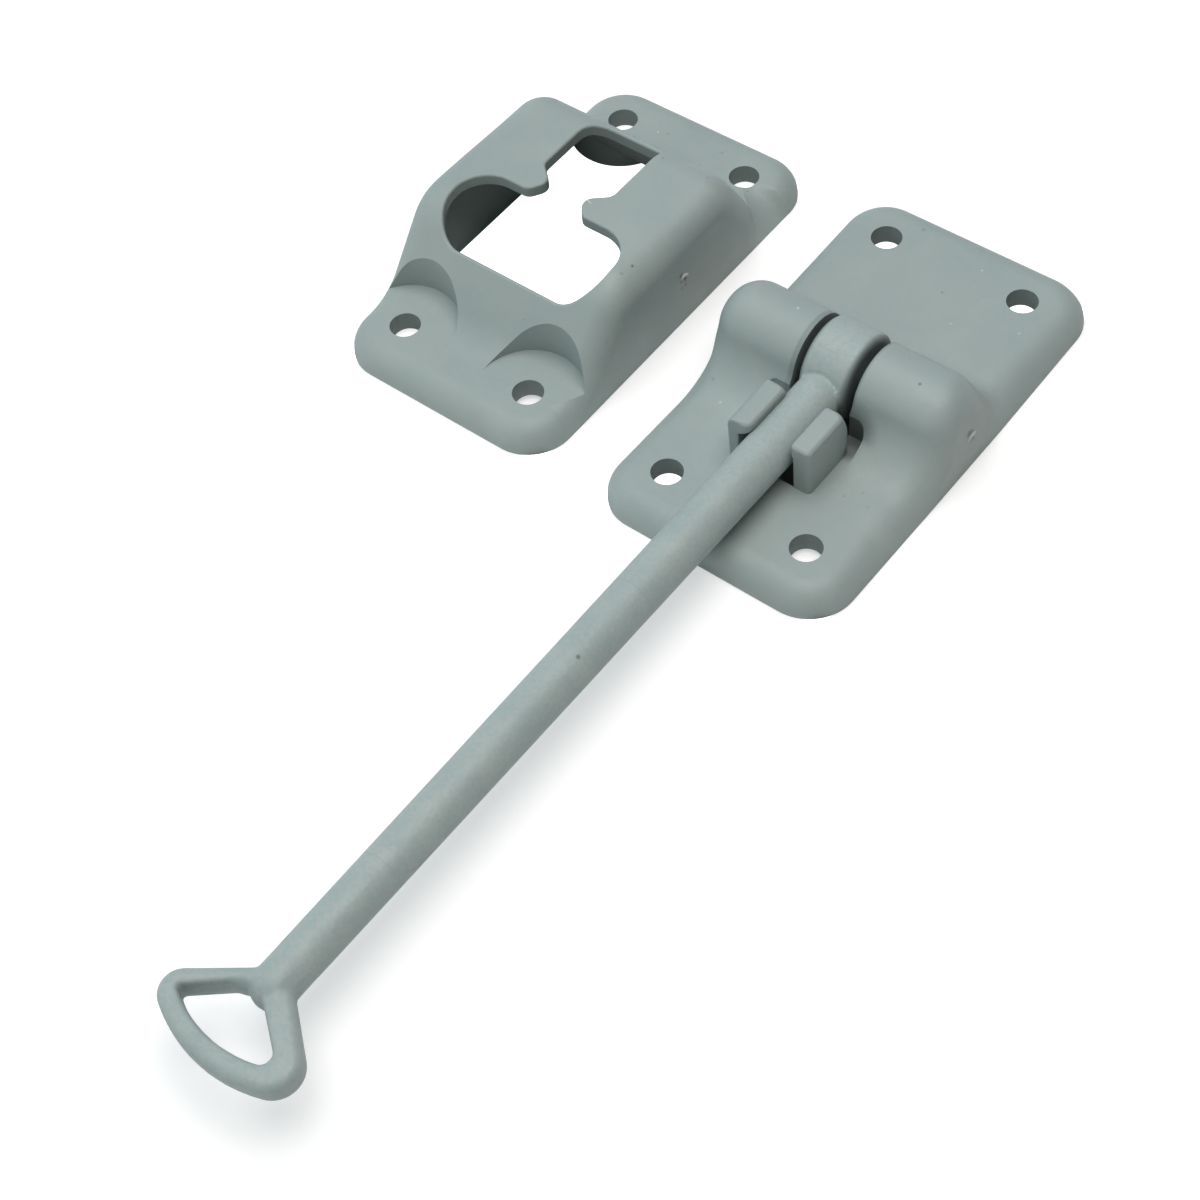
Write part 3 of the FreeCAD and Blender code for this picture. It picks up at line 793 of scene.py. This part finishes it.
def makeFloor(values):
    form = bmesh.new()
    bmesh.ops.create_grid(form, x_segments=1, y_segments=1, size=values["floorSize"] / 2)
    floor = newPiece("floor", form)
    material, nodes, links = newMaterial("floorPaper")
    output = nodes.new("ShaderNodeOutputMaterial")
    seen = nodes.new("ShaderNodeLightPath").outputs["Is Camera Ray"]
    place = nodes.new("ShaderNodeTexCoord").outputs["Object"]
    # painted light: the patches where the floor glows white for the camera, and bounces less onto the plates
    paintedLightAndShade = addMath(nodes, links, "ADD",
                    *[addPatch(nodes, links, place, patch) for patch in floorPatches["paintedLightAndShade"]])
    for centre, radius, amount in floorPatches["shaded"]:
        spot = addSpot(nodes, links, place, centre, radius, floorPatches["shadedCore"])
        spot = addProduct(nodes, links, spot, amount)
        paintedLightAndShade = addProduct(nodes, links, paintedLightAndShade, addMath(nodes, links, "SUBTRACT", 1.0, spot))
    # painted shadow on the floor under the clip
    paintedShade = addPatch(nodes, links, place, floorPatches["paintedShade"])
    tone = addMix(nodes, links, paintedLightAndShade, values["floorColour"], floorPatches["shutColour"])
    tone = addMix(nodes, links, seen, tone, values["floorSeen"])
    paper = nodes.new("ShaderNodeBsdfDiffuse")
    links.new(addMix(nodes, links, paintedShade, tone, floorPatches["paintedShadeColour"]), paper.inputs["Color"])

    # the white that only the camera sees: an even lift, with the painted light of the patches on top
    lift = addMath(nodes, links, "ADD", values["floorLift"], paintedLightAndShade)
    lift = addProduct(nodes, links, lift, addMath(nodes, links, "SUBTRACT", 1.0, paintedShade))
    glow = nodes.new("ShaderNodeEmission")
    glow.inputs["Color"].default_value = (1, 1, 1, 1)
    links.new(addProduct(nodes, links, lift, seen), glow.inputs["Strength"])
    both = nodes.new("ShaderNodeAddShader")
    links.new(paper.outputs[0], both.inputs[0])
    links.new(glow.outputs[0], both.inputs[1])
    links.new(both.outputs[0], output.inputs["Surface"])
    coat(floor, material)


def makeLights(values):
    for name, (place, size, power, colour) in values["lamps"].items():
        lamp = bpy.data.lights.new(name, "AREA")
        lamp.shape = "DISK"
        lamp.size = size
        lamp.energy = power
        lamp.color = colour
        softBox = bpy.data.objects.new(name, lamp)
        softBox.location = place
        softBox.rotation_mode = "QUATERNION"
        softBox.rotation_quaternion = (Vector(values["aim"]) - softBox.location).to_track_quat("-Z", "Y")
        scene.collection.objects.link(softBox)

    # a sky that is brighter on two sides; the camera sees it white
    world = bpy.data.worlds.new("studio")
    world.use_nodes = True
    nodes = world.node_tree.nodes
    links = world.node_tree.links
    background = nodes["Background"]
    background.inputs["Strength"].default_value = 1.0
    direction = nodes.new("ShaderNodeTexCoord").outputs["Generated"]
    total = (0, 0, 0)
    for side, colour in values["sky"]:
        facing = addVector(nodes, links, "DOT_PRODUCT", direction, Vector(side).normalized(), 1)
        share = addRange(nodes, links, facing, *values["skyRange"], smooth=True)
        part = addVector(nodes, links, "MULTIPLY", addGrey(nodes, links, share), colour)
        total = addVector(nodes, links, "ADD", part, total)
    seen = nodes.new("ShaderNodeLightPath").outputs["Is Camera Ray"]
    links.new(addMix(nodes, links, seen, total, (1, 1, 1, 1)), background.inputs["Color"])
    scene.world = world


# the camera looks down on the catch from its right front
view = {
    "place": (0.13190, -0.19827, 0.27506),
    "right": (0.7852, 0.6141, -0.0795),
    "up": (-0.4614, 0.6659, 0.5862),
    "forward": (-0.4129, 0.4237, -0.8062),
    "lens": 66.99,
    "sensor": 36,
    "nearest": 0.01,
}


def makeCamera(values):
    data = bpy.data.cameras.new("camera")
    data.sensor_width = values["sensor"]
    data.lens = values["lens"]
    data.clip_start = values["nearest"]
    camera = bpy.data.objects.new("camera", data)
    scene.collection.objects.link(camera)
    turn = Matrix((Vector(values["right"]), Vector(values["up"]), -Vector(values["forward"]))).transposed()
    camera.rotation_mode = "QUATERNION"
    camera.rotation_quaternion = turn.to_quaternion()
    camera.location = values["place"]
    scene.camera = camera


makeFloor(studio)
makeLights(studio)
makeCamera(view)
scene.view_settings.view_transform = "Standard"
print("floor, lights and camera made")
